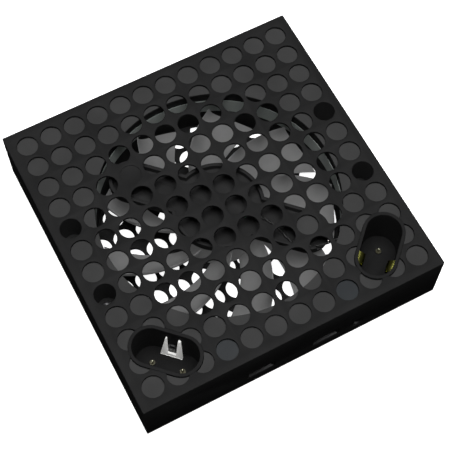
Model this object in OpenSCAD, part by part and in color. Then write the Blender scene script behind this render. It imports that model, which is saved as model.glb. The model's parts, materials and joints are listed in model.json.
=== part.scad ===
// Fan-cooled charging dock: a flat square case with a perforated top, a wide
// axial fan hung from a diagonal bracket, and two slanted charging sockets.
// Millimetres. +Z is up, +X right along the front, -Y the front with the ports.
// The origin is at the middle of the footprint, at the level of the feet.

/* [Case] */
// Side length of the square case
case_w = 150; // [148:1:156]
// Height of the case without its feet
case_h = 31.8; // [31.8:0.1:34]
// Radius of the four upright corners
corner_r = 0.5; // [0.4:0.1:2]
// Thickness of the side walls
wall_t = 1.8; // [1.4:0.1:2]
// Thickness of the perforated top plate
plate_t = 1.4; // [0.9:0.1:1.5]
// Thickness of the bottom cover
base_t = 1.6; // [1.4:0.1:1.8]
// How far the rubber feet stand out
foot_h = 1; // [0.8:0.1:1.5]

/* [Vent holes] */
// Spacing of the square hole grid
pitch = 12; // [12:0.1:12.2]
// Holes along each side of the top
grid_n = 12; // [12:1:12]
// Diameter of a hole in the top plate
hole_d = 10.05; // [9:0.05:10.2]
// Diameter of a hole in the bottom cover
base_hole_d = 10.2; // [9.5:0.1:10.6]
// Spacing of the holes in the bottom cover
base_pitch = 11.9; // [11.8:0.05:12]
// How far the bottom cover's holes sit to the left of the top's
base_shift_x = 0.9; // [0:0.1:1]
// How far the bottom cover's holes sit in front of the top's
base_shift_y = 1.8; // [0:0.1:2]
// Radius of the round opening in the plate under the grille
intake_r = 57; // [56.4:0.1:57.1]
// Sideways place of that opening
intake_x = 0.3; // [0:0.1:0.4]

/* [Fan] */
// Number of blades
blade_count = 9; // [7:1:10]
// Radius at the blade tips
tip_r = 55.4; // [52:0.2:56]
// Radius of the hub cup
hub_r = 20; // [19.4:0.1:20.2]
// Height of the lower blade edges
blade_z0 = 4.3; // [4:0.1:5]
// Height of the upper blade edges
blade_z1 = 20.3; // [19:0.1:22]
// Turn of a blade from its lower to its upper edge at the hub, degrees
twist_hub = 29.5; // [25:0.5:36]
// The same turn at the tip, degrees
twist_tip = 23.5; // [15:0.5:30]
// Backward sweep of a blade from hub to tip, degrees
blade_sweep = 28; // [0:0.5:35]
// How far a blade bows forward between its lower and upper edge, degrees
blade_bow = 5.9; // [0:0.1:8]
// Normal thickness of a blade
blade_t = 1.1; // [1:0.1:1.6]
// Angle of the first blade at rest, degrees
blade_start = 31.5; // [0:0.1:40]

/* [Charging sockets] */
// Distance of each socket's centre from the case's centre lines
socket_xy = 54; // [54:0.25:54.5]
// Overall length of a socket rim
socket_l = 33.6; // [33:0.1:33.8]
// Overall width of a socket rim
socket_w = 19.4; // [18.6:0.1:19.6]
// Thickness of a socket's wall
socket_wall = 1.5; // [1.3:0.1:1.6]
// Depth of a socket's floor below the top
socket_depth = 23; // [22:0.1:23.2]
// Travel of the sprung contact pins
pin_travel = 1.2; // [0.6:0.1:1.4]

/* [Ports] */
// Width of a metal port shell
port_w = 13.1; // [13:0.05:13.2]
// Height of a metal port shell
port_h = 5.7; // [5.6:0.05:5.8]
// Depth of a port shell behind the front
port_l = 14; // [12:0.5:14]
// Sideways place of the left port
port_left_x = -17.4; // [-18:0.1:-16]
// Sideways place of the right port
port_right_x = 15.9; // [15:0.1:17]
// Sideways place of the power jack
jack_x = 32.2; // [32:0.1:32.4]
// Radius of the power jack's mouth
jack_r = 2.8; // [2.6:0.05:2.9]

/* [Hidden] */

// Levels, all above the surface that the dock stands on
base_z = foot_h;
base_top = base_z + base_t;
top_z = base_z + case_h;
plate_z = top_z - plate_t;
baffle_t = 1.1;
baffle_z = plate_z - baffle_t;
duct_top = top_z - 8.2;
duct_split = top_z - 18;
inner_w = case_w - 2 * wall_t;
fit = 0.05;
gap = 0.3;
fn_hole = 40;
fn_big = 120;

// Fan frame
duct_r = 57.4;
duct_t = 1.6;
arm_l = 53;
arm_w = 20;
arm_wall = 1.6;
arm_rim = top_z - 5;
disc_r = 21.7;
disc_top = top_z - 8;
disc_z = disc_top - 1.6;
boss_xy = 2.5 * pitch;
boss_r = 6;
boss_d = boss_xy * sqrt(2);
screw_r = 1.45;
screw_hole_r = 1.5;
head_r = 2.6;
head_h = 1.5;
bracket_screw_l = 5.5;
wire_r = 0.7;

// Motor
shaft_r = 1.49;
tube_r = 4.6;
sleeve_r = 3;
sleeve_bore_r = 1.53;
tube_z = 9.6;
sleeve_z0 = 10.4;
sleeve_z1 = 22.6;
hub_wall = 1.8;
hub_top = blade_z1 - 0.4;
hub_z0 = blade_z0 - 0.5;
hub_floor = 1.8;
magnet_t = 2.1;
magnet_z0 = 9;
magnet_z1 = 18.8;
core_r = 15.7;
core_z0 = 11;
core_z1 = 18.6;
pole_count = 4;
pole_w = 5;
board_t = 1.2;

// Screw wells beside the fan
well_x = 5.5 * pitch;
well_y = 1.5 * pitch;
well_depth = 17;
well_wall = 1.3;
well_floor = 1.6;
well_z = top_z - well_depth;
post_r = 4.2;

// Sockets and their contacts
socket_floor_z = top_z - socket_depth;
socket_floor_t = 1.5;
cap_x = (socket_l - socket_w) / 2;
cup_r = socket_w / 2 - socket_wall;
pin_x = 7.2;
barrel_r = 1.3;
barrel_bore = 0.95;
neck_bore = 0.68;
plunger_r = 0.62;
collar_r = 0.89;
contact_z = 4.2;
barrel_z = contact_z + board_t;
barrel_top = socket_floor_z + 0.7;
barrel_floor = 0.6;
neck_t = 0.6;
collar_t = 0.8;
pin_tip_z = socket_floor_z + 3.1;
collar_top = barrel_top - neck_t - 0.05;
spring_z0 = barrel_z + barrel_floor + 0.02;
spring_z1 = collar_top - collar_t - 0.02;
clip_x = 0;
clip_y = 5.9;
clip_h = 18;
clip_lean = 5;
clip_t = 1.1;
tongue_y = 7.4;

// Electronics along the front
pcb_t = 1.6;
pcb_top = 8.2;
pcb_z = pcb_top - pcb_t;
pcb_x = 38;
pcb_y0 = -72.6;
pcb_y1 = -51.5;
pcb_cut_r = 61.5;
pcb_screw_x = 34;
pcb_screw_y = -55.5;
pcb_rest_x = 23;
pcb_rest_y = -69.4;
front_y = -case_w / 2;
shell_t = 0.35;
port_z = pcb_top + port_h / 2;
jack_z = 9.9;
jack_body = 8.6;
jack_l = 10;
jack_bore_l = 8.4;
led_x = 2.5 * pitch;
window_y = -5.5 * pitch;
led_y = -63;
window_r = 5.3;
foot_xy = 63;
foot_r = 5;
foot_seat = 0.4;

// ---- Helpers ----

// Square with rounded corners, built from plain rectangles and circles
module rounded_square(w, r) {
    square([w, w - 2 * r], center = true);
    square([w - 2 * r, w], center = true);
    for (x = [-1, 1], y = [-1, 1])
        translate([x * (w / 2 - r), y * (w / 2 - r)]) circle(r = r, $fn = fn_hole);
}

// Outline with straight sides and two round ends, along X
module stadium(l, w) {
    square([l - w, w], center = true);
    for (x = [-1, 1]) translate([x * (l - w) / 2, 0]) circle(d = w, $fn = fn_hole);
}

// Plate or block with height h standing at height z
module slab(z, h) {
    translate([0, 0, z]) linear_extrude(h) children();
}

module rod(r, z0, z1, fn = fn_hole) {
    translate([0, 0, z0]) cylinder(r = r, h = z1 - z0, $fn = fn);
}

module ring(r0, r1, z0, z1, fn = fn_big) {
    difference() {
        rod(r1, z0, z1, fn);
        rod(r0, z0 - 1, z1 + 1, fn);
    }
}

function grid_pos(i) = (i - (grid_n - 1) / 2) * pitch;
function base_hole_at(i, j) =
    [grid_pos(i) * base_pitch / pitch - base_shift_x, grid_pos(j) * base_pitch / pitch - base_shift_y, 0];

// Frames of the two sockets: local X runs along the socket, local -Y to the corner
module at_left() {
    translate([-socket_xy, -socket_xy, 0]) rotate([0, 0, -45]) children();
}

module at_right() {
    translate([socket_xy, -socket_xy, 0]) rotate([0, 0, 45]) children();
}

module at_arms() {
    rotate([0, 0, -45]) children();
}

module at_wells() {
    for (x = [-1, 1], y = [-1, 1]) translate([x * well_x, y * well_y, 0]) children();
}

// Round bar swept along points, for wires and springs
function unit(v) = v / norm(v);
function tangent(p, i) = unit(p[min(i + 1, len(p) - 1)] - p[max(i - 1, 0)]);
function side_of(t) = unit(cross(t, abs(t[2]) > 0.95 ? [1, 0, 0] : [0, 0, 1]));

module bar_along(p, r, sides = 8) {
    n = len(p);
    points = [for (i = [0:n - 1]) let (t = tangent(p, i), a = side_of(t), b = cross(t, a))
        for (k = [0:sides - 1]) p[i] + r * (cos(360 * k / sides) * a + sin(360 * k / sides) * b)];
    skin = [for (i = [0:n - 2]) for (k = [0:sides - 1])
        let (m = (k + 1) % sides, a = i * sides, b = a + sides) each [[a + k, a + m, b + m], [a + k, b + m, b + k]]];
    ends = [[for (k = [sides - 1:-1:0]) k], [for (k = [0:sides - 1]) (n - 1) * sides + k]];
    polyhedron(points = points, faces = concat(skin, ends), convexity = 6);
}

// ---- Case ----

module top_cover() {
    color("#1d1d1f") {
        difference() {
            slab(base_top, top_z - base_top) rounded_square(case_w, corner_r);
            slab(base_top - 1, plate_z - base_top + 1) square(inner_w, center = true);
            top_holes();
            at_left() slab(plate_z - 1, plate_t + 2) stadium(socket_l + 2 * fit, socket_w + 2 * fit);
            at_right() slab(plate_z - 1, plate_t + 2) stadium(socket_l + 2 * fit, socket_w + 2 * fit);
            front_cutouts();
        }
        at_wells() screw_well();
        difference() {
            translate([-boss_xy, boss_xy, 0]) rod(boss_r, arm_rim, plate_z + 0.1);
            translate([-boss_xy, boss_xy, 0]) rod(screw_hole_r, arm_rim - 1, plate_z - 0.8);
        }
    }
}

// One hole of the grid, above the bracket's rear screw, is only a shallow dimple
module top_holes() {
    for (i = [0:grid_n - 1], j = [0:grid_n - 1]) {
        blind = grid_pos(i) == -boss_xy && grid_pos(j) == boss_xy;
        translate([grid_pos(i), grid_pos(j), 0]) rod(hole_d / 2, blind ? top_z - 0.4 : plate_z - 0.5, top_z + 1);
    }
}

module screw_well() {
    difference() {
        rod(hole_d / 2 + well_wall, well_z - well_floor, plate_z + 0.1);
        rod(hole_d / 2, well_z, plate_z + 1);
        rod(screw_hole_r + 0.2, well_z - well_floor - 1, well_z + 1);
    }
}

module front_cutouts() {
    for (x = [port_left_x, port_right_x])
        translate([x, front_y + wall_t / 2, port_z])
            cube([port_w + 2 * gap, 2 * wall_t, port_h + 2 * gap], center = true);
    translate([jack_x, front_y - 1, jack_z]) rotate([-90, 0, 0]) cylinder(r = jack_r + 0.5, h = wall_t + 2, $fn = fn_hole);
}

module bottom_cover() {
    color("#161618") difference() {
        union() {
            slab(base_z, base_t) rounded_square(case_w, corner_r);
            slab(base_top - 0.1, 2.4) difference() {
                square(inner_w - 2 * gap, center = true);
                square(inner_w - 2 * gap - 2.4, center = true);
            }
            at_wells() rod(post_r, base_top - 0.1, well_z - well_floor);
            for (x = [-1, 1]) translate([x * pcb_screw_x, pcb_screw_y, 0]) rod(2.6, base_top - 0.1, pcb_z);
            for (x = [-1, 1]) translate([x * pcb_rest_x, pcb_rest_y, 0]) rod(1.6, base_top - 0.1, pcb_z);
            at_left() contact_posts();
            at_right() contact_posts();
        }
        intersection() {
            for (i = [0:grid_n - 1], j = [0:grid_n - 1])
                if (norm(base_hole_at(i, j)) < duct_r + 3.5)
                    translate(base_hole_at(i, j)) rod(base_hole_d / 2, base_z - 1, base_top + 1);
            rod(duct_r - 0.4, base_z - 2, base_top + 2, fn_big);
        }
        at_wells() rod(screw_hole_r, base_top + 1, well_z);
        for (x = [-1, 1]) translate([x * pcb_screw_x, pcb_screw_y, 0]) rod(screw_hole_r - 0.4, base_top + 0.2, pcb_z + 1);
        at_feet() rod(foot_r + fit, base_z - 1, base_z + foot_seat);
    }
}

module contact_posts() {
    for (x = [-1, 1]) translate([x * 2.5, 0, 0]) rod(1.6, base_top - 0.1, contact_z);
}

module at_feet() {
    for (x = [-1, 1], y = [-1, 1]) translate([x * foot_xy, y * foot_xy, 0]) children();
}

module vent_baffle() {
    color("#3f3f41") difference() {
        slab(baffle_z, baffle_t) square(inner_w - 2 * gap, center = true);
        translate([intake_x, 0, 0]) rod(intake_r, baffle_z - 1, plate_z + 1, fn_big);
        at_wells() rod(hole_d / 2 + well_wall + 0.2, baffle_z - 1, plate_z + 1);
        at_left() slab(baffle_z - 1, baffle_t + 2) stadium(socket_l + gap, socket_w + gap);
        at_right() slab(baffle_z - 1, baffle_t + 2) stadium(socket_l + gap, socket_w + gap);
        for (x = [-1, 1]) translate([x * led_x, window_y, 0]) rod(window_r + fit, baffle_z - 1, plate_z + 1);
    }
}

module feet() {
    color("#2a2a2a") at_feet() rotate_extrude($fn = fn_hole)
        polygon([[0, 0], [foot_r - 0.5, 0], [foot_r, 0.5], [foot_r, foot_h + foot_seat], [0, foot_h + foot_seat]]);
}

module case_screws() {
    color("#4a4a4c") at_wells() screw(well_z, screw_r, 9);
}

// Pan-head screw standing on the level z, with a hexagon recess
module screw(z, r, l) {
    difference() {
        union() {
            rod(r, z - l, z + 0.1);
            rod(head_r, z, z + head_h);
        }
        rod(1.2, z + head_h - 0.9, z + head_h + 1, 6);
    }
}

// ---- Fan ----

module fan_duct() {
    color("#7b7d78") {
        ring(duct_r, duct_r + duct_t, duct_split, duct_top);
    }
}

// Lower ring of the fan's frame, with a flange on the bottom cover and a lip round the upper ring
module duct_base() {
    color("#1b1b1d") {
        ring(duct_r, duct_r + duct_t, base_top, duct_split);
        ring(duct_r, duct_r + duct_t + 1.7, base_top, base_top + 1.4);
        ring(duct_r + duct_t + fit, duct_r + duct_t + 1, duct_split - 2, duct_split + 2.2);
        ring(duct_r + duct_t - 0.1, duct_r + duct_t + 0.3, duct_split - 2, duct_split);
    }
}

module duct_seal() {
    color("#0c0c0c") difference() {
        ring(duct_r + 0.2, duct_r + 2.4, duct_top, baffle_z);
        at_arms() translate([duct_r + 1.2, 0, duct_top + 1.4]) cube([5, 3, 3], center = true);
    }
}

module motor_bracket() {
    color("#1b1b1d") difference() {
        union() {
            rod(disc_r, disc_z, disc_top, fn_big);
            disc_rim();
            at_arms() {
                slab(disc_z, disc_top - disc_z) arm_outline(0);
                slab(disc_top - 0.1, arm_rim - disc_top + 0.1) arm_rails();
                for (s = [-1, 1]) translate([s * boss_d, 0, 0]) rod(boss_r, disc_z, arm_rim);
            }
            rod(tube_r, tube_z, disc_z + 0.1);
        }
        rod(sleeve_r + 0.01, tube_z - 1, disc_top - 0.6);
        at_arms() for (s = [-1, 1]) translate([s * boss_d, 0, 0]) {
            rod(screw_hole_r + 0.2, disc_z - 1, arm_rim + 1);
            rod(head_r + 0.3, disc_z - 1, disc_z + head_h + 0.1);
        }
        at_arms() translate([12.5, 0, 0]) rod(1.6, disc_z - 1, disc_top + 1);
    }
}

// Upright edge round the disc, open where the arms join it
module disc_rim() {
    inside = arm_w - 2 * arm_wall;
    difference() {
        ring(disc_r - arm_wall, disc_r, disc_top - 0.1, arm_rim);
        at_arms() translate([-disc_r - 1, -inside / 2, disc_top]) cube([2 * disc_r + 2, inside, 10]);
    }
}

// Outline of the two arms, which end round the bosses
module arm_outline(inset) {
    stadium(2 * (arm_l - inset), arm_w - 2 * inset);
}

// Upright edges of the arms; the front end leaves a way out for the lead
module arm_rails() {
    difference() {
        arm_outline(0);
        arm_outline(arm_wall);
        square([37.6, arm_w + 2], center = true);
        translate([arm_l, -4.25]) square([12, 6.5], center = true);
    }
}

module bracket_spacer() {
    color("#3f3f41") translate([boss_xy, -boss_xy, 0]) difference() {
        rod(boss_r, arm_rim, plate_z);
        rod(screw_hole_r, arm_rim - 1, plate_z - 0.8);
    }
}

module bracket_screws() {
    color("#55555a") at_arms() for (s = [-1, 1])
        translate([s * boss_d, 0, disc_z + head_h + 0.1]) mirror([0, 0, 1]) screw(0, screw_r, bracket_screw_l);
}

module bearing_sleeve() {
    color("#b0803c") ring(sleeve_bore_r, sleeve_r, sleeve_z0, sleeve_z1, fn_hole);
}

module stator_core() {
    color("#8a8c90") difference() {
        union() {
            rod(7, core_z0, core_z1);
            intersection() {
                for (k = [0:pole_count - 1]) rotate([0, 0, 360 * k / pole_count]) {
                    translate([0, -pole_w / 2, core_z0]) cube([core_r, pole_w, core_z1 - core_z0]);
                    translate([core_r - 2, -7, core_z0]) cube([3, 14, core_z1 - core_z0]);
                }
                rod(core_r, core_z0 - 1, core_z1 + 1);
            }
        }
        rod(tube_r + 0.02, core_z0 - 1, core_z1 + 1);
    }
}

module stator_coils() {
    color("#b5642c") for (k = [0:pole_count - 1]) rotate([0, 0, 360 * k / pole_count])
        translate([0, 0, (core_z0 + core_z1) / 2]) difference() {
            translate([9.8, 0, 0]) cube([5, pole_w + 4, core_z1 - core_z0 + 3], center = true);
            translate([9.8, 0, 0]) cube([7, pole_w + 0.04, core_z1 - core_z0 + 0.04], center = true);
        }
}

module motor_board() {
    color("#1f5b3a") ring(tube_r + 0.1, 15.4, disc_z - board_t, disc_z, 60);
}

// Two-core lead in the frame of the arms: up through the disc, along the front arm, over the
// duct's edge and down to the main board
fan_wire_route = [[12.5, 0, 23.3], [12.5, 0, 24.6], [13.2, 0, 25.5], [15, 0, 25.9], [20, 0.6, 25.9],
    [26, -0.8, 25.8], [31, -3, 25.8], [35, -5.8, 25.8], [38.5, -7.2, 25.8], [43, -7.3, 25.8],
    [47, -6.6, 25.9], [51, -5, 26], [54, -2.4, 26.2], [56.6, -0.4, 26.2], [58.3, 0, 26.2],
    [60.4, 0, 26], [62, -0.5, 25], [62.5, -1.4, 22], [62.5, -4, 17], [62.7, -8, 12.5],
    [63.8, -11, 10.6], [66, -13.2, 9.5], [67, -15, 9.05], [67.4, -17, 8.95]];

module fan_wires() {
    color("#101010") at_arms() bar_along(fan_wire_route, wire_r);
}

// ---- Rotor ----

hub_inner = hub_r - hub_wall;
root_r = hub_r - 0.6;
blade_rows = 6;
blade_cols = 7;
function blade_r(i) = root_r + (tip_r - root_r) * i / blade_rows;
function blade_s(r) = (r - hub_r) / (tip_r - hub_r);
function blade_lag(r) = blade_sweep * blade_s(r) + 4.6 * blade_s(r) * (1 - blade_s(r));
function blade_turn(r) = twist_hub + (twist_tip - twist_hub) * blade_s(r);
function blade_z(j) = blade_z0 + (blade_z1 - blade_z0) * j / blade_cols;
function blade_angle(r, j) = blade_start - blade_lag(r) + blade_turn(r) * j / blade_cols
    + 4 * blade_bow * (j / blade_cols) * (1 - j / blade_cols);
// Half the thickness as an angle, larger where the blade lies flatter and smaller at its edges
function blade_pitch(r) = atan2(blade_z1 - blade_z0, blade_turn(r) * PI / 180 * r);
function blade_edge(j) = 0.35 + 0.65 * sin(180 * j / blade_cols);
function blade_half(r, j) = blade_edge(j) * blade_t / 2 / sin(blade_pitch(r)) / r * 180 / PI;
function polar(r, a, z) = [r * cos(a), r * sin(a), z];

module blade() {
    n = blade_cols + 1;
    m = (blade_rows + 1) * n;
    points = [for (s = [-1, 1]) for (i = [0:blade_rows]) for (j = [0:blade_cols]) let (r = blade_r(i))
        polar(r, blade_angle(r, j) + s * blade_half(r, j), blade_z(j))];
    low = [for (i = [0:blade_rows - 1]) for (j = [0:blade_cols - 1]) each
        [[i * n + j, i * n + j + 1, (i + 1) * n + j + 1], [i * n + j, (i + 1) * n + j + 1, (i + 1) * n + j]]];
    high = [for (f = low) [f[2] + m, f[1] + m, f[0] + m]];
    function strip(a, b) = [[a, a + m, b + m], [a, b + m, b]];
    rim = concat(
        [for (j = [0:blade_cols - 1]) each strip(j + 1, j)],
        [for (j = [0:blade_cols - 1]) each strip(blade_rows * n + j, blade_rows * n + j + 1)],
        [for (i = [0:blade_rows - 1]) each strip(i * n, (i + 1) * n)],
        [for (i = [0:blade_rows - 1]) each strip((i + 1) * n + blade_cols, i * n + blade_cols)]);
    polyhedron(points = points, faces = concat(low, high, rim), convexity = 4);
}

module rotor() {
    color("#6f7174") {
        difference() {
            union() {
                for (k = [0:blade_count - 1]) rotate([0, 0, 360 * k / blade_count]) blade();
                rod(hub_r, hub_z0, hub_top, fn_big);
            }
            rod(hub_inner, hub_z0 + hub_floor, hub_top + 1, fn_big);
            rod(shaft_r + 0.01, hub_z0 + 0.6, hub_top);
        }
        ring(shaft_r + 0.01, 4, hub_z0 + hub_floor - 0.1, hub_z0 + hub_floor + 2, fn_hole);
    }
}

module magnet_ring() {
    color("#3a3a3e") ring(hub_inner - magnet_t, hub_inner - 0.02, magnet_z0, magnet_z1);
}

module rotor_shaft() {
    color("#c9cbd0") difference() {
        rod(shaft_r, hub_z0 + 0.6, disc_top - 0.9);
        ring(shaft_r - 0.3, shaft_r + 1, sleeve_z1 + 0.15, sleeve_z1 + 0.65, fn_hole);
    }
}

module shaft_clip() {
    color("#e6e2d4") ring(shaft_r - 0.28, 2.6, sleeve_z1 + 0.2, sleeve_z1 + 0.6, fn_hole);
}

// ---- Sockets ----

module socket_cup() {
    difference() {
        slab(socket_floor_z - socket_floor_t, top_z - socket_floor_z + socket_floor_t) stadium(socket_l, socket_w);
        slab(socket_floor_z, socket_depth + 1) stadium(socket_l - 2 * socket_wall, 2 * cup_r);
        for (s = [-1, 1]) translate([s * pin_x, 0, 0]) rod(barrel_r + fit, socket_floor_z - 3, socket_floor_z + 1);
    }
}

module left_socket() {
    color("#1d1d1f") at_left() difference() {
        socket_cup();
        translate([clip_x, tongue_y, socket_floor_z - 1]) cube([3.6, 1.3, 4], center = true);
    }
}

module right_socket() {
    color("#1d1d1f") at_right() difference() {
        socket_cup();
        for (s = [-1, 1]) translate([-7.6, s * (cup_r + 0.5), top_z - 5.9]) cube([6.6, 2.6, 8.2], center = true);
        for (s = [-1, 1]) translate([-2.4, s * (cup_r + 0.5), top_z - 4.5]) cube([2, 2.6, 4], center = true);
    }
}

// Bent strip that bows into the socket from a slot in its long wall
module leaf_contact(s) {
    leaf = [[0.9, -9.6], [0.55, -9.6], [0.1, -8.4], [-2.6, -5.4], [-3, -4.4], [-2.7, -3.6], [0.1, -2.2], [0.9, -2.1],
        [0.9, -2.45], [0.2, -2.6], [-2.35, -3.9], [-2.6, -4.4], [-2.3, -5.1], [0.45, -8.2], [0.9, -9.3]];
    translate([-7.6, s * cup_r, top_z]) rotate([90, 0, s > 0 ? 90 : -90])
        linear_extrude(6, center = true) polygon(leaf);
}

module leaf_contact_inner() {
    color("#8c7a1e") at_right() leaf_contact(1);
}

module leaf_contact_outer() {
    color("#8c7a1e") at_right() leaf_contact(-1);
}

module contact_board() {
    slab(contact_z, board_t) square([22, 7.5], center = true);
}

module left_contact_board() {
    color("#1f5b3a") at_left() contact_board();
}

module right_contact_board() {
    color("#1f5b3a") at_right() contact_board();
}

module pin_barrels() {
    for (s = [-1, 1]) translate([s * pin_x, 0, 0]) difference() {
        rod(barrel_r, barrel_z, barrel_top);
        rod(barrel_bore, barrel_z + barrel_floor, barrel_top - neck_t);
        rod(neck_bore, barrel_top - neck_t - 1, barrel_top + 1);
    }
}

module left_pin_barrels() {
    color("#a8862f") at_left() pin_barrels();
}

module right_pin_barrels() {
    color("#a8862f") at_right() pin_barrels();
}

// Plunger with a round tip and a collar that the barrel's neck holds in
module plunger() {
    r = plunger_r;
    rotate_extrude($fn = fn_hole) difference() {
        union() {
            translate([0, collar_top - collar_t]) square([collar_r, collar_t]);
            translate([0, collar_top - 0.1]) square([r, pin_tip_z - r - collar_top + 0.1]);
            translate([0, pin_tip_z - r]) circle(r = r, $fn = fn_hole);
        }
        translate([-2 * r, 0]) square([2 * r, pin_tip_z + 1]);
    }
}

module left_pin_front() {
    color("#c8a24a") at_left() translate([pin_x, 0, 0]) plunger();
}

module left_pin_back() {
    color("#c8a24a") at_left() translate([-pin_x, 0, 0]) plunger();
}

module right_pin_front() {
    color("#c8a24a") at_right() translate([-pin_x, 0, 0]) plunger();
}

module right_pin_back() {
    color("#c8a24a") at_right() translate([pin_x, 0, 0]) plunger();
}

spring_turns = 5;
spring_steps = 10;
spring_wire = 0.13;
spring_mean = barrel_bore - 0.25;
spring_path = [for (i = [0:spring_turns * spring_steps]) let (f = i / (spring_turns * spring_steps))
    polar(spring_mean, 360 * spring_turns * f, spring_z0 + spring_wire + (spring_z1 - spring_z0 - 2 * spring_wire) * f)];

module pin_spring() {
    bar_along(spring_path, spring_wire, 5);
}

module left_spring_front() {
    color("#b9bcc2") at_left() translate([pin_x, 0, 0]) pin_spring();
}

module left_spring_back() {
    color("#b9bcc2") at_left() translate([-pin_x, 0, 0]) pin_spring();
}

module right_spring_front() {
    color("#b9bcc2") at_right() translate([-pin_x, 0, 0]) pin_spring();
}

module right_spring_back() {
    color("#b9bcc2") at_right() translate([pin_x, 0, 0]) pin_spring();
}

// U-shaped guide with prongs that narrow upwards, leaning back towards the socket's wall
module connector_clip() {
    half = 5.25;
    h = clip_h;
    outline = [[-half, 0], [half, 0], [half - 0.9, h - 0.4], [half - 2.1, h], [half - 3.1, 2.6],
        [-half + 3.6, 2.6], [-half + 3.2, h - 0.5], [-half + 2.6, h]];
    color("#e9e9e6") at_left() translate([clip_x, clip_y, socket_floor_z + 0.2]) rotate([90 - clip_lean, 0, 0])
        linear_extrude(clip_t, center = true) polygon(outline);
    color("#e9e9e6") at_left() translate([clip_x, clip_y + 0.25, socket_floor_z])
        slab(0, 0.9) square([2 * half - 0.5, clip_t + 0.3], center = true);
}

module connector_tongue() {
    color("#0e0e10") at_left() translate([clip_x, tongue_y, 0])
        slab(socket_floor_z - 2.5, 12.5) square([3.2, 1], center = true);
}

left_wire_route = [[-46.4, -60.2, 6.2], [-45.4, -61.5, 6.25], [-44.2, -63, 6.3], [-43, -64.4, 6.5],
    [-41.8, -65.5, 7], [-40.7, -65.9, 7.8], [-39.8, -65.5, 8.6], [-38.9, -64.6, 9], [-37.8, -63.4, 9.05],
    [-36.8, -62.4, 9.05], [-35.6, -61.8, 9]];

module left_socket_wires() {
    color("#8c1f1b") bar_along(left_wire_route, wire_r);
}

module right_socket_wires() {
    color("#8c1f1b") bar_along([for (p = left_wire_route) [-p[0] + 0.4, p[1], p[2]]], wire_r);
}

// ---- Electronics ----

module main_board() {
    color("#1f5b3a") difference() {
        slab(pcb_z, pcb_t) translate([-pcb_x, pcb_y0]) square([2 * pcb_x, pcb_y1 - pcb_y0]);
        rod(pcb_cut_r, pcb_z - 1, pcb_top + 1, fn_big);
        for (x = [-1, 1]) translate([x * pcb_screw_x, pcb_screw_y, 0]) rod(1.4, pcb_z - 1, pcb_top + 1);
        translate([jack_x - jack_body / 2 - gap, pcb_y0 - 1, pcb_z - 1])
            cube([jack_body + 2 * gap, front_y + jack_l + gap - pcb_y0 + 1, pcb_t + 2]);
    }
}

module at_port(x) {
    translate([x, front_y + 0.3, port_z]) rotate([-90, 0, 0]) children();
}

module port_shell() {
    difference() {
        translate([0, 0, port_l / 2]) cube([port_w, port_h, port_l], center = true);
        translate([0, 0, port_l / 2 - 1]) cube([port_w - 2 * shell_t, port_h - 2 * shell_t, port_l], center = true);
    }
}

module port_tongue() {
    w = port_w - 2 * shell_t - 0.9;
    translate([0, -0.95, 0.8 + (port_l - 1.82) / 2]) cube([w, 1.9, port_l - 1.82], center = true);
    translate([0, 0, port_l - 2.6]) cube([w, port_h - 2 * shell_t - 0.04, 3.16], center = true);
}

module left_port() {
    color("#6d6f73") at_port(port_left_x) port_shell();
}

module right_port() {
    color("#6d6f73") at_port(port_right_x) port_shell();
}

module left_port_tongue() {
    color("#17171a") at_port(port_left_x) port_tongue();
}

module right_port_tongue() {
    color("#17171a") at_port(port_right_x) port_tongue();
}

module power_jack() {
    color("#141416") translate([jack_x, front_y + 0.4, jack_z]) rotate([-90, 0, 0]) difference() {
        union() {
            translate([0, 0, wall_t - 0.2 + (jack_l - wall_t) / 2]) cube([jack_body, jack_body, jack_l - wall_t - 0.4], center = true);
            cylinder(r = jack_r + 0.4, h = wall_t + 0.5, $fn = fn_hole);
        }
        translate([0, 0, -1]) cylinder(r = jack_r, h = jack_bore_l + 1, $fn = fn_hole);
    }
}

module jack_pin() {
    color("#c9cbd0") translate([jack_x, front_y + 2, jack_z]) rotate([-90, 0, 0])
        cylinder(r = 1, h = jack_bore_l - 1.61, $fn = fn_hole);
}

module light_pipe() {
    translate([0, window_y, 0]) rod(window_r, baffle_z, plate_z);
    translate([0, led_y, 0]) rod(1.7, pcb_top + 1.5, baffle_z + 0.1);
}

module left_light_pipe() {
    color("#39424c") translate([-led_x, 0, 0]) light_pipe();
}

module right_light_pipe() {
    color("#39424c") translate([led_x, 0, 0]) light_pipe();
}

module led() {
    translate([0, led_y, pcb_top + 0.6]) cube([3.2, 2.6, 1.2], center = true);
}

module left_led() {
    color("#e8eef5") translate([-led_x, 0, 0]) led();
}

module right_led() {
    color("#e8eef5") translate([led_x, 0, 0]) led();
}

module controller_chip() {
    color("#1a1a1a") translate([-1, -66, pcb_top + 0.6]) cube([7, 7, 1.2], center = true);
}

module power_inductor() {
    color("#2e2e30") translate([-29, -69, pcb_top + 1.6]) cube([6, 5, 3.2], center = true);
}

module capacitors() {
    color("#33507a") for (x = [-7.4, 5.8]) translate([x, -70, 0]) rod(1.9, pcb_top, pcb_top + 5.4, 32);
}

module board_screws() {
    color("#55555a") for (x = [-1, 1]) translate([x * pcb_screw_x, pcb_screw_y, 0]) screw(pcb_top, 1.05, 5);
}

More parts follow.
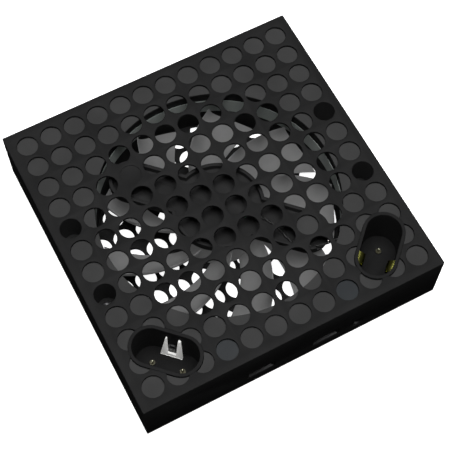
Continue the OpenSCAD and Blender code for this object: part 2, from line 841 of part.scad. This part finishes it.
top_cover();
bottom_cover();
vent_baffle();
duct_seal();
fan_duct();
duct_base();
motor_bracket();
bracket_spacer();
bracket_screws();
bearing_sleeve();
stator_core();
stator_coils();
motor_board();
fan_wires();
rotor();
magnet_ring();
rotor_shaft();
shaft_clip();
left_socket();
right_socket();
left_contact_board();
right_contact_board();
left_pin_barrels();
right_pin_barrels();
left_pin_front();
left_pin_back();
right_pin_front();
right_pin_back();
left_spring_front();
left_spring_back();
right_spring_front();
right_spring_back();
connector_clip();
connector_tongue();
leaf_contact_inner();
leaf_contact_outer();
left_socket_wires();
right_socket_wires();
main_board();
left_port();
left_port_tongue();
right_port();
right_port_tongue();
power_jack();
jack_pin();
left_light_pipe();
right_light_pipe();
left_led();
right_led();
controller_chip();
power_inductor();
capacitors();
board_screws();
case_screws();
feet();
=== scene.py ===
import json
import math

import bmesh
import bpy
from mathutils import Matrix, Vector


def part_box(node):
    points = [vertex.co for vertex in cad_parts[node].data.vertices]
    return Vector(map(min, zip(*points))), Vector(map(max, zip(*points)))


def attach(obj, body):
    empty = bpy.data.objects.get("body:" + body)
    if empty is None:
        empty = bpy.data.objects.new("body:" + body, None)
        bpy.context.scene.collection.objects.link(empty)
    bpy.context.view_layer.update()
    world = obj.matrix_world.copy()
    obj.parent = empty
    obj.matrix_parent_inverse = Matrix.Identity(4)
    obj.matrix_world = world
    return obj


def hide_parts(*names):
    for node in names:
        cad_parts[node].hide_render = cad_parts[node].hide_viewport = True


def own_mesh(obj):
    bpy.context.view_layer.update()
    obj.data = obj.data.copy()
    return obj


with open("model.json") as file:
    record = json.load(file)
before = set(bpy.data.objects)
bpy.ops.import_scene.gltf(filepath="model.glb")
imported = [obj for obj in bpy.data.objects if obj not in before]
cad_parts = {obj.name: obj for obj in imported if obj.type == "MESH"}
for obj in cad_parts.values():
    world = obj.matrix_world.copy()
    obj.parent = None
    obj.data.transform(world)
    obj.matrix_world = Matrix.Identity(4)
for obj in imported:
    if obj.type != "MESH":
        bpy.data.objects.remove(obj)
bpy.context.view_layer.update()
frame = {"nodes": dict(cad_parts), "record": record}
NODES = frame["nodes"]
MM = 0.001


# ---- Camera, floor and light ----

# The camera looks down over the front left corner. Angles are in degrees, its place in metres, its lens in
# millimetres of focal length on a 36 mm sensor.
CAMERA_AZIMUTH = -27.67
CAMERA_ELEVATION = 65.65
CAMERA_PLACE = (-0.1129, -0.2174, 0.5272)
CAMERA_LENS = 96.46
CAMERA_SENSOR = 36
CAMERA_SHIFT = (0.0103, 0.0370)

# What both lamps point at
LIGHT_AIM = (0, 0, 0.02)
WORLD_STRENGTH = 0.03

# The studio bowl: flat to BOWL_BEND, then a quarter turn up to its wall. In metres.
FLOOR_Z = -0.0003
BOWL_BEND = 2.0
BOWL_RADIUS = 4.0
BOWL_TOP = 5.0
BOWL_TURNS = 48
PAPER_GLOW = 0.97


def add_camera():
    camera = bpy.data.objects.new("camera", bpy.data.cameras.new("camera"))
    bpy.context.scene.collection.objects.link(camera)
    camera.location = CAMERA_PLACE
    camera.rotation_euler = (math.radians(90 - CAMERA_ELEVATION), 0, math.radians(CAMERA_AZIMUTH))
    camera.data.lens = CAMERA_LENS
    camera.data.sensor_width = CAMERA_SENSOR
    camera.data.shift_x, camera.data.shift_y = CAMERA_SHIFT
    camera.data.clip_start = 0.01
    bpy.context.scene.camera = camera


def add_area_light(name, place, size, power):
    light = bpy.data.lights.new(name, "AREA")
    light.shape = "DISK"
    light.size = size
    light.energy = power
    lamp = bpy.data.objects.new(name, light)
    bpy.context.scene.collection.objects.link(lamp)
    lamp.location = place
    lamp.rotation_euler = (Vector(LIGHT_AIM) - Vector(place)).to_track_quat("-Z", "Y").to_euler()


def add_light():
    add_area_light("top_softbox", (0.02, -0.06, 1.1), size=0.75, power=13.4)
    add_area_light("front_fill", (-0.9, -1.3, 0.8), size=0.7, power=0.25)
    world = bpy.data.worlds.new("studio")
    world.use_nodes = True
    background = world.node_tree.nodes["Background"]
    background.inputs["Color"].default_value = (1, 1, 1, 1)
    background.inputs["Strength"].default_value = WORLD_STRENGTH
    bpy.context.scene.world = world
    bpy.context.scene.view_settings.view_transform = "Standard"


def turned_rings(bm, profile, turns):
    """One ring of points for each (radius, height), or a single point where the radius is nothing."""
    rings = []
    for radius, height in profile:
        if radius < 1e-6:
            rings.append([bm.verts.new((0, 0, height))])
        else:
            rings.append([bm.verts.new((radius * math.cos(2 * math.pi * k / turns),
                                        radius * math.sin(2 * math.pi * k / turns), height))
                          for k in range(turns)])
    return rings


def join_rings(bm, low, high, turns):
    """A band of faces between two rings of turned_rings."""
    for k in range(turns):
        after = (k + 1) % turns
        corners = [low[k % len(low)], low[after % len(low)], high[after % len(high)], high[k % len(high)]]
        bm.faces.new(list(dict.fromkeys(corners)))


def add_stage():
    """A pale bowl: a flat floor that curves up into a far wall, bright enough to read as paper."""
    mesh = bpy.data.meshes.new("studio_floor")
    floor = bpy.data.objects.new("studio_floor", mesh)
    bpy.context.scene.collection.objects.link(floor)
    bend = BOWL_RADIUS - BOWL_BEND
    profile = [(0.0, FLOOR_Z), (BOWL_BEND, FLOOR_Z)]
    profile += [(BOWL_BEND + bend * math.sin(a), bend - bend * math.cos(a))
                for a in (math.radians(10 * k) for k in range(1, 10))]
    profile += [(BOWL_RADIUS, BOWL_TOP), (0.0, BOWL_TOP)]
    bm = bmesh.new()
    rings = turned_rings(bm, profile, BOWL_TURNS)
    for low, high in zip(rings, rings[1:]):
        join_rings(bm, low, high, BOWL_TURNS)
    bm.to_mesh(mesh)
    bm.free()
    material = bpy.data.materials.new("paper")
    material.use_nodes = True
    shader = material.node_tree.nodes["Principled BSDF"]
    shader.inputs["Base Color"].default_value = (0.8, 0.8, 0.8, 1)
    shader.inputs["Roughness"].default_value = 0.9
    shader.inputs["Emission Color"].default_value = (1, 1, 1, 1)
    shader.inputs["Emission Strength"].default_value = PAPER_GLOW
    mesh.materials.append(material)
    floor.visible_diffuse = False
    floor.visible_glossy = False
    floor.visible_shadow = False


# ---- Materials ----

# Height of the moulded grain, in metres
GRAIN_DEPTH = 0.00004
# The socket cups' colour is darkened with painted shade over this much height below the level of their edge,
# in metres
CUP_PAINTED_SHADE_FADE = 0.0008


def new_material(name):
    material = bpy.data.materials.new(name)
    material.use_nodes = True
    tree = material.node_tree
    return material, tree, tree.nodes["Principled BSDF"]


def add_node(tree, kind, **settings):
    node = tree.nodes.new(kind)
    for key, value in settings.items():
        if key in node.inputs:
            node.inputs[key].default_value = value
        else:
            setattr(node, key, value)
    return node


def noise(tree, scale, detail):
    place = add_node(tree, "ShaderNodeTexCoord")
    texture = add_node(tree, "ShaderNodeTexNoise", Scale=scale, Detail=detail)
    tree.links.new(place.outputs["Object"], texture.inputs["Vector"])
    return texture.outputs["Fac"]


def ramp(tree, fac, low, high):
    node = add_node(tree, "ShaderNodeValToRGB")
    first, last = node.color_ramp.elements
    first.position, last.position = 0.35, 0.65
    first.color = (*low, 1)
    last.color = (*high, 1)
    tree.links.new(fac, node.inputs["Fac"])
    return node.outputs["Color"]


def span(tree, fac, low, high):
    node = add_node(tree, "ShaderNodeMapRange")
    node.inputs["From Min"].default_value = 0.3
    node.inputs["From Max"].default_value = 0.7
    node.inputs["To Min"].default_value = low
    node.inputs["To Max"].default_value = high
    tree.links.new(fac, node.inputs["Value"])
    return node.outputs["Result"]


def bump(tree, shader, height, strength, distance):
    node = add_node(tree, "ShaderNodeBump", Strength=strength, Distance=distance)
    tree.links.new(height, node.inputs["Height"])
    tree.links.new(node.outputs["Normal"], shader.inputs["Normal"])


def moulded(name, colour, roughness=0.5, vary=0.1, grain=2600, depth=0.35, specular=0.5, metallic=0.0,
            painted_glow=0.0):
    """Moulded plastic or plated metal: slight blotches of colour, a fine grain and uneven gloss, and a
    painted glow in its own colour where one is given.
    """
    material, tree, shader = new_material(name)
    low = tuple(c * (1 - vary) for c in colour)
    high = tuple(c * (1 + vary) for c in colour)
    blotches = noise(tree, 55, 4)
    tree.links.new(ramp(tree, blotches, low, high), shader.inputs["Base Color"])
    uneven = noise(tree, 140, 3)
    tree.links.new(span(tree, uneven, roughness - 0.05, roughness + 0.05), shader.inputs["Roughness"])
    bump(tree, shader, noise(tree, grain, 3), depth, GRAIN_DEPTH)
    shader.inputs["Specular IOR Level"].default_value = specular
    shader.inputs["Metallic"].default_value = metallic
    # Painted light: an emission in the material's own colour, though the part is no lamp
    shader.inputs["Emission Color"].default_value = (*colour, 1)
    shader.inputs["Emission Strength"].default_value = painted_glow
    return material


def cup_black_painted_shade(name, colour, painted_shade_scale, edge):
    """Black plastic of the socket cups: the rim as the case, the inside below the level edge darkened with
    painted shade.
    """
    material = moulded(name, colour, 0.6, specular=0.02)
    tree = material.node_tree
    shader = tree.nodes["Principled BSDF"]
    place = add_node(tree, "ShaderNodeTexCoord")
    parts = add_node(tree, "ShaderNodeSeparateXYZ")
    tree.links.new(place.outputs["Object"], parts.inputs["Vector"])
    # Painted shade: below the edge the colour is scaled down, darkest at the given share
    painted_shade_fade = add_node(tree, "ShaderNodeMapRange")
    painted_shade_fade.inputs["From Min"].default_value = edge - CUP_PAINTED_SHADE_FADE
    painted_shade_fade.inputs["From Max"].default_value = edge
    painted_shade_fade.inputs["To Min"].default_value = painted_shade_scale
    painted_shade_fade.inputs["To Max"].default_value = 1.0
    tree.links.new(parts.outputs["Z"], painted_shade_fade.inputs["Value"])
    shade = add_node(tree, "ShaderNodeVectorMath", operation="SCALE")
    tree.links.new(shader.inputs["Base Color"].links[0].from_socket, shade.inputs[0])
    tree.links.new(painted_shade_fade.outputs["Result"], shade.inputs["Scale"])
    tree.links.new(shade.outputs["Vector"], shader.inputs["Base Color"])
    return material


MATERIALS = {
    # Painted shade: the cups' insides are darkened to 72% of their colour
    "cup_black_painted_shade": cup_black_painted_shade("cup_black_painted_shade", (0.0172, 0.0172, 0.0174), painted_shade_scale=0.72, edge=0.0322),
    "case_black": moulded("case_black", (0.0169, 0.0169, 0.0171), 0.6, specular=0.05),
    "baffle_grey": moulded("baffle_grey", (0.0445, 0.0445, 0.0446), 0.65, specular=0.05),
    "seal_foam": moulded("seal_foam", (0.022, 0.022, 0.022), 0.9, 0.3, 900, 0.8, 0.1),
    "duct_grey": moulded("duct_grey", (0.39, 0.43, 0.41), 0.4, specular=0.3),
    "bracket_black": moulded("bracket_black", (0.0198, 0.0198, 0.02), 0.55, specular=0.05),
    "screw_steel": moulded("screw_steel", (0.09, 0.09, 0.093), 0.35, metallic=1.0),
    "sleeve_bronze": moulded("sleeve_bronze", (0.55, 0.33, 0.14), 0.4, metallic=1.0),
    "core_steel": moulded("core_steel", (0.4, 0.41, 0.42), 0.4, metallic=1.0),
    "coil_copper": moulded("coil_copper", (0.62, 0.26, 0.12), 0.3, metallic=1.0),
    "board_green": moulded("board_green", (0.012, 0.09, 0.04), 0.35),
    "wire_black": moulded("wire_black", (0.008, 0.008, 0.008), 0.45),
    "wire_red": moulded("wire_red", (0.3, 0.02, 0.015), 0.45),
    # Painted light: the rotor glows at a fifth of its colour, lifting its shaded blades
    "rotor_grey": moulded("rotor_grey", (0.2, 0.2, 0.2), 0.55, specular=0.1, painted_glow=0.2),
    "magnet_dark": moulded("magnet_dark", (0.03, 0.03, 0.033), 0.6),
    "shaft_steel": moulded("shaft_steel", (0.7, 0.71, 0.73), 0.2, metallic=1.0),
    # Painted light: the clip glows at a quarter of its colour, lifting its shaded sides
    "clip_white": moulded("clip_white", (0.9, 0.9, 0.88), 0.35, painted_glow=0.25),
    "pin_brass": moulded("pin_brass", (0.62, 0.6, 0.45), 0.3, metallic=1.0),
    "barrel_bronze": moulded("barrel_bronze", (0.025, 0.023, 0.01), 0.4, metallic=0.6),
    "leaf_gold": moulded("leaf_gold", (0.37, 0.37, 0.085), 0.2, metallic=1.0),
    "tongue_black": moulded("tongue_black", (0.01, 0.01, 0.011), 0.45),
    "port_steel": moulded("port_steel", (0.02, 0.02, 0.021), 0.5, metallic=0.5),
    "window_smoke": moulded("window_smoke", (0.0192, 0.0222, 0.025), 0.4, specular=0.1),
    "led_white": moulded("led_white", (0.8, 0.85, 0.9), 0.3),
    "cap_blue": moulded("cap_blue", (0.04, 0.1, 0.25), 0.3),
    "foot_rubber": moulded("foot_rubber", (0.02, 0.02, 0.02), 0.8),
}


# Nodes whose finish differs from the rest of their slot; the socket cups' finish darkens their insides with
# painted shade
OWN_FINISH = {"left_pin_barrels": "barrel_bronze", "right_pin_barrels": "barrel_bronze",
              "jack_pin": "barrel_bronze", "left_socket": "cup_black_painted_shade", "right_socket": "cup_black_painted_shade"}


def dress_cad_nodes():
    for row in frame["record"]["subparts"]:
        node = NODES[row["node"]]
        node.data.materials.clear()
        node.data.materials.append(MATERIALS[OWN_FINISH.get(row["node"], row["material_slot"])])


# ---- Mesh helpers: everything below is written in millimetres ----

# Edge rounding of the CAD nodes that keep their shape
SOFT_NODES = {"top_cover": 0.12, "bottom_cover": 0.2, "left_socket": 0.12, "right_socket": 0.12,
              "motor_bracket": 0.2, "bracket_spacer": 0.2, "connector_clip": 0.18, "connector_tongue": 0.15,
              "left_port": 0.08, "right_port": 0.08, "power_jack": 0.15, "controller_chip": 0.12,
              "power_inductor": 0.3, "case_screws": 0.15, "bracket_screws": 0.15, "board_screws": 0.1}
# Only edges sharper than this are rounded, in degrees
SOFT_ANGLE = 40
SLOT_OF = {row["node"]: row["material_slot"] for row in frame["record"]["subparts"]}


def smooth_mesh(mesh, angle):
    for face in mesh.polygons:
        face.use_smooth = True
    mesh.set_sharp_from_angle(angle=math.radians(angle))


def add_piece(name, bm, material, body="housing", angle=32, scale=MM):
    mesh = bpy.data.meshes.new(name)
    bmesh.ops.recalc_face_normals(bm, faces=bm.faces)
    if scale != 1:
        bmesh.ops.scale(bm, vec=(scale,) * 3, verts=bm.verts)
    bm.to_mesh(mesh)
    bm.free()
    mesh.materials.append(MATERIALS[material])
    smooth_mesh(mesh, angle)
    piece = bpy.data.objects.new(name, mesh)
    bpy.context.scene.collection.objects.link(piece)
    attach(piece, body)
    return piece


def soften(node, width):
    """A copy of a CAD node in its place, with its flat triangles merged and its sharp edges rounded."""
    bm = bmesh.new()
    bm.from_mesh(NODES[node].data)
    bmesh.ops.remove_doubles(bm, verts=bm.verts, dist=2e-6)
    bmesh.ops.dissolve_limit(bm, angle_limit=math.radians(0.6), verts=bm.verts, edges=bm.edges)
    sharp = [e for e in bm.edges
             if len(e.link_faces) == 2 and e.calc_face_angle(0) > math.radians(SOFT_ANGLE)]
    bmesh.ops.bevel(bm, geom=sharp, offset=width * MM, offset_type="OFFSET", segments=2, profile=0.5,
                    affect="EDGES", clamp_overlap=False, loop_slide=True)
    finish = OWN_FINISH.get(node, SLOT_OF[node])
    piece = add_piece("soft_" + node, bm, finish, scale=1)
    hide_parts(node)


def lathe(bm, profile, turns):
    """Turn a closed outline of (radius, height) round the vertical axis."""
    rings = turned_rings(bm, profile, turns)
    for low, high in zip(rings, rings[1:] + rings[:1]):
        if len(low) > 1 or len(high) > 1:
            join_rings(bm, low, high, turns)


def spline(points, per_span):
    """Smooth curve through the points (Catmull-Rom)."""
    points = [Vector(p) for p in points]
    line = []
    for k in range(len(points) - 1):
        a, b, c, d = points[max(k - 1, 0)], points[k], points[k + 1], points[min(k + 2, len(points) - 1)]
        for step in range(per_span):
            t = step / per_span
            line.append(0.5 * (2 * b + (c - a) * t + (2 * a - 5 * b + 4 * c - d) * t ** 2
                               + (3 * b - a - 3 * c + d) * t ** 3))
    line.append(points[-1])
    return line


# One core of a twisted pair: its radius, how far it stands off the middle, the length of a turn, its sides
CORE_RADIUS = 0.33
CORE_SWING = 0.34
CORE_PITCH = 7.0
CORE_SIDES = 10


def core(bm, line, phase):
    """Round bar that winds round a curve like one core of a twisted pair."""
    side = Vector((0, 0, 1)).cross(line[1] - line[0]).normalized()
    run = 0.0
    rings = []
    for k, point in enumerate(line):
        ahead = (line[min(k + 1, len(line) - 1)] - line[max(k - 1, 0)]).normalized()
        side = (side - ahead * side.dot(ahead)).normalized()
        up = ahead.cross(side)
        run += (point - line[k - 1]).length if k else 0.0
        turn = phase + 2 * math.pi * run / CORE_PITCH
        middle = point + CORE_SWING * (math.cos(turn) * side + math.sin(turn) * up)
        angles = [2 * math.pi * j / CORE_SIDES for j in range(CORE_SIDES)]
        rings.append([bm.verts.new(middle + CORE_RADIUS * (math.cos(a) * side + math.sin(a) * up))
                      for a in angles])
    for low, high in zip(rings, rings[1:]):
        join_rings(bm, low, high, CORE_SIDES)
    bm.faces.new(rings[0][::-1])
    bm.faces.new(rings[-1])


def bevelled_box(bm, low, high, width):
    """A box from its low corner to its high corner, with rounded edges."""
    made = bmesh.ops.create_cube(bm, size=1)["verts"]
    size = [high[k] - low[k] for k in range(3)]
    bmesh.ops.scale(bm, vec=size, verts=made)
    bmesh.ops.translate(bm, vec=[(high[k] + low[k]) / 2 for k in range(3)], verts=made)
    edges = list({e for v in made for e in v.link_edges})
    bmesh.ops.bevel(bm, geom=edges, offset=width, segments=2, profile=0.5, affect="EDGES")


# Both sockets are centred this far from the middle along each side
SOCKET_PLACE = 54
TOP_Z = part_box("top_cover")[1][2] / MM
Q = math.sqrt(0.5)


def at_right(x, y, z):
    """A point given in the right socket's own slanted frame."""
    return Vector((SOCKET_PLACE + (x - y) * Q, -SOCKET_PLACE + (x + y) * Q, z))


def at_arms(x, y, z):
    """A point given along and across the bracket's arms."""
    return Vector(((x + y) * Q, (y - x) * Q, z))


# ---- Fan rotor: hub cup and nine swept, twisted blades with rounded edges ----

BLADES = 9
HUB_R, TIP_R = 20.0, 55.4
# The blades start a little inside the hub's wall
ROOT_R = 19.3
BLADE_Z0, BLADE_Z1 = 4.3, 20.3
BLADE_ROWS, BLADE_COLS = 14, 18
# Angles of the first blade, in degrees: its start, how far the tip lags and its lag bows, how far the
# section turns from the lower to the upper edge at the hub, how much less at the tip, and its camber
BLADE_START = 31.5
TIP_LAG, LAG_BOW = 28, 4.6
HUB_TURN, TURN_LOSS = 29.5, 6.0
CAMBER = 5.9
# Half the blade's thickness at the hub, before it thins towards the tip and the edges
BLADE_HALF = 0.56
# The hub cup: how its closed end and its open edge are rounded, and the steps round it
CUP_CORNER, CUP_LIP = 1.2, 0.5
CUP_TURNS = 120


def blade_point(r, f):
    """Middle surface of the first blade at radius r and height fraction f."""
    s = (r - HUB_R) / (TIP_R - HUB_R)
    lag = TIP_LAG * s + LAG_BOW * s * (1 - s)
    angle = math.radians(BLADE_START - lag + (HUB_TURN - TURN_LOSS * s) * f + 4 * CAMBER * f * (1 - f))
    return Vector((r * math.cos(angle), r * math.sin(angle), BLADE_Z0 + (BLADE_Z1 - BLADE_Z0) * f))


def blade_face(r, f, side):
    """A point of one of the blade's two faces, kept within the tip radius."""
    p = blade_point(r, f)
    along = blade_point(r, min(f + 0.01, 1)) - blade_point(r, max(f - 0.01, 0))
    out = blade_point(r + 0.1, f) - blade_point(r - 0.1, f)
    normal = along.cross(out).normalized()
    edge = math.sqrt(max(1e-4, 1 - abs(2 * f - 1) ** 5))
    half = BLADE_HALF * edge * (1.12 - 0.25 * (r - HUB_R) / 35)
    p = p + side * half * normal
    reach = math.hypot(p.x, p.y)
    if reach > TIP_R:
        p.x, p.y = p.x * TIP_R / reach, p.y * TIP_R / reach
    return p


def sheet_faces(bm, a, b):
    """Close the space between two grids of points, as the two faces of one thin piece."""
    rows, cols = len(a) - 1, len(a[0]) - 1
    for i in range(rows):
        for j in range(cols):
            bm.faces.new([a[i][j], a[i][j + 1], a[i + 1][j + 1], a[i + 1][j]])
            bm.faces.new([b[i][j], b[i + 1][j], b[i + 1][j + 1], b[i][j + 1]])
    for i in range(rows):
        bm.faces.new([a[i][0], a[i + 1][0], b[i + 1][0], b[i][0]])
        bm.faces.new([a[i + 1][cols], a[i][cols], b[i][cols], b[i + 1][cols]])
    for j in range(cols):
        bm.faces.new([a[rows][j], a[rows][j + 1], b[rows][j + 1], b[rows][j]])
        bm.faces.new([a[0][j + 1], a[0][j], b[0][j], b[0][j + 1]])


def add_rotor():
    bm = bmesh.new()
    radii = [ROOT_R + (TIP_R - ROOT_R) * i / BLADE_ROWS for i in range(BLADE_ROWS + 1)]
    # The heights lie closer together near the rounded edges
    heights = [0.5 - 0.5 * math.cos(math.pi * (0.03 + 0.94 * j / BLADE_COLS)) for j in range(BLADE_COLS + 1)]
    for k in range(BLADES):
        turn = Matrix.Rotation(2 * math.pi * k / BLADES, 3, "Z")
        sheets = [[[bm.verts.new(turn @ blade_face(r, f, side)) for f in heights] for r in radii]
                  for side in (-1, 1)]
        sheet_faces(bm, *sheets)
    z0, top = BLADE_Z0 - 0.5, BLADE_Z1 - 0.4
    rim = [(HUB_R - CUP_CORNER + CUP_CORNER * math.sin(t), z0 + CUP_CORNER - CUP_CORNER * math.cos(t))
           for t in (math.pi / 2 * k / 6 for k in range(7))]
    lip = [(HUB_R - CUP_LIP + CUP_LIP * math.cos(t), top - CUP_LIP + CUP_LIP * math.sin(t))
           for t in (math.pi / 2 * k / 4 for k in range(5))]
    inside = [(18.5, top), (18.2, top - 0.3), (18.2, z0 + 1.8), (4, z0 + 1.8), (3.8, z0 + 3.7),
              (1.5, z0 + 3.7), (1.5, z0 + 0.6), (0, z0 + 0.6)]
    lathe(bm, [(0, z0)] + rim + lip + inside, CUP_TURNS)
    rotor = add_piece("rotor_moulding", bm, "rotor_grey", "fan_rotor", angle=38)
    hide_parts("rotor")


# ---- Contacts, leads and small fittings ----

# The sprung strips: half their width, how much they bow across it, half their thickness, the columns across
# them, their place along the socket, and how far the socket's wall is from its middle
LEAF_HALF = 2.9
LEAF_CROWN = 0.22
LEAF_HALF_THICK = 0.13
LEAF_COLUMNS = 8
LEAF_ALONG = -7.6
LEAF_WALL = 8.2
# One strip from its lower to its upper end: its place across the wall, below zero inside the socket, and its
# height from the top face
LEAF_PROFILE = [(0.75, -9.45), (0.35, -8.9), (-0.4, -7.9), (-1.7, -6.5), (-2.6, -5.2), (-2.84, -4.4),
                (-2.55, -3.6), (-1.8, -2.85), (-0.8, -2.42), (0.1, -2.3), (0.75, -2.28)]


def add_leaf_contacts():
    """Two sprung strips that bow into the right socket from the slots in its long walls."""
    middle = spline([(u, w, 0) for u, w in LEAF_PROFILE], 4)
    widths = [-LEAF_HALF + 2 * LEAF_HALF * c / LEAF_COLUMNS for c in range(LEAF_COLUMNS + 1)]
    for name, s in (("leaf_contact_inner", 1), ("leaf_contact_outer", -1)):
        bm = bmesh.new()
        faces = []
        for side in (-1, 1):
            sheet = []
            for k, p in enumerate(middle):
                ahead = (middle[min(k + 1, len(middle) - 1)] - middle[max(k - 1, 0)]).normalized()
                normal = Vector((ahead.y, -ahead.x, 0))
                q = p + normal * (LEAF_HALF_THICK * side)
                row = []
                for across in widths:
                    crown = LEAF_CROWN * (1 - (across / LEAF_HALF) ** 2)
                    place = at_right(LEAF_ALONG + across, s * (LEAF_WALL + q.x - crown), TOP_Z + q.y)
                    row.append(bm.verts.new(place))
                sheet.append(row)
            faces.append(sheet)
        sheet_faces(bm, *faces)
        strip = add_piece("sprung_" + name, bm, "leaf_gold", angle=50)
        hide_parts(name)


# Middle lines of the leads. The fan's is given along the bracket's arms.
FAN_LEAD = [(12.5, 0, 23.3), (12.5, 0, 24.6), (13.2, 0, 25.5), (15, 0, 25.9), (20, 0.6, 25.9),
            (26, -0.8, 25.8), (31, -3, 25.8), (35, -5.8, 25.8), (38.5, -7.2, 25.8), (43, -7.3, 25.8),
            (47, -6.6, 25.9), (51, -5, 26), (54, -2.4, 26.2), (56.6, -0.4, 26.2), (58.3, 0, 26.2),
            (60.4, 0, 26), (62, -0.5, 25), (62.5, -1.4, 22), (62.5, -4, 17), (62.7, -8, 12.5),
            (63.8, -11, 10.6), (66, -13.2, 9.5), (67, -15, 9.05), (67.4, -17, 8.95)]
SOCKET_LEAD = [(-46.4, -60.2, 6.2), (-45.4, -61.5, 6.25), (-44.2, -63, 6.3), (-43, -64.4, 6.5),
               (-41.8, -65.5, 7), (-40.7, -65.9, 7.8), (-39.8, -65.5, 8.6), (-38.9, -64.6, 9),
               (-37.8, -63.4, 9.05), (-36.8, -62.4, 9.05), (-35.6, -61.8, 9)]


def add_leads():
    """Twisted pairs: the fan's lead along the front arm, and one from each socket's contact board."""
    # The right socket's lead mirrors the left one, 0.4 mm further to the right
    right = [(-x + 0.4, y, z) for x, y, z in SOCKET_LEAD]
    for node, route, colour in (("fan_wires", [at_arms(*p) for p in FAN_LEAD], "wire_black"),
                                ("left_socket_wires", SOCKET_LEAD, "wire_red"),
                                ("right_socket_wires", right, "wire_red")):
        line = spline(route, 10)
        for k, slot in enumerate((colour, "wire_black")):
            bm = bmesh.new()
            core(bm, line, phase=math.pi * k)
            lead = add_piece(node + "_core_%d" % (k + 1), bm, slot, angle=60)
            if k == 0:
                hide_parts(node)


# The contact strips of a port: how many, their spacing, half their width, and their span from the front
STRIPS = 4
STRIP_PITCH = 2.3
STRIP_HALF = 0.5
STRIP_FROM, STRIP_TO = 0.9, 9.0


def add_port_contacts():
    """Plated contact strips in each port's tongue."""
    for name in ("left", "right"):
        low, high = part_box(name + "_port_tongue")
        middle = (low[0] + high[0]) / 2 / MM
        front = low[1] / MM
        level = (low[2] + high[2]) / 2 / MM
        bm = bmesh.new()
        for k in range(STRIPS):
            x = middle + (k - (STRIPS - 1) / 2) * STRIP_PITCH
            bevelled_box(bm, (x - STRIP_HALF, front + STRIP_FROM, level - 0.16),
                         (x + STRIP_HALF, front + STRIP_TO, level + 0.05), 0.05)
        add_piece(name + "_port_contacts", bm, "leaf_gold")


def add_springs():
    """The coil springs under the four pins."""
    for node in ("left_spring_front", "left_spring_back", "right_spring_front", "right_spring_back"):
        bm = bmesh.new()
        bm.from_mesh(NODES[node].data)
        coil = add_piece("coil_" + node, bm, SLOT_OF[node], angle=80, scale=1)
        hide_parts(node)
        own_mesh(coil)


add_camera()
add_light()
add_stage()
dress_cad_nodes()
for node, width in SOFT_NODES.items():
    soften(node, width)
add_rotor()
add_leaf_contacts()
add_leads()
add_port_contacts()
add_springs()
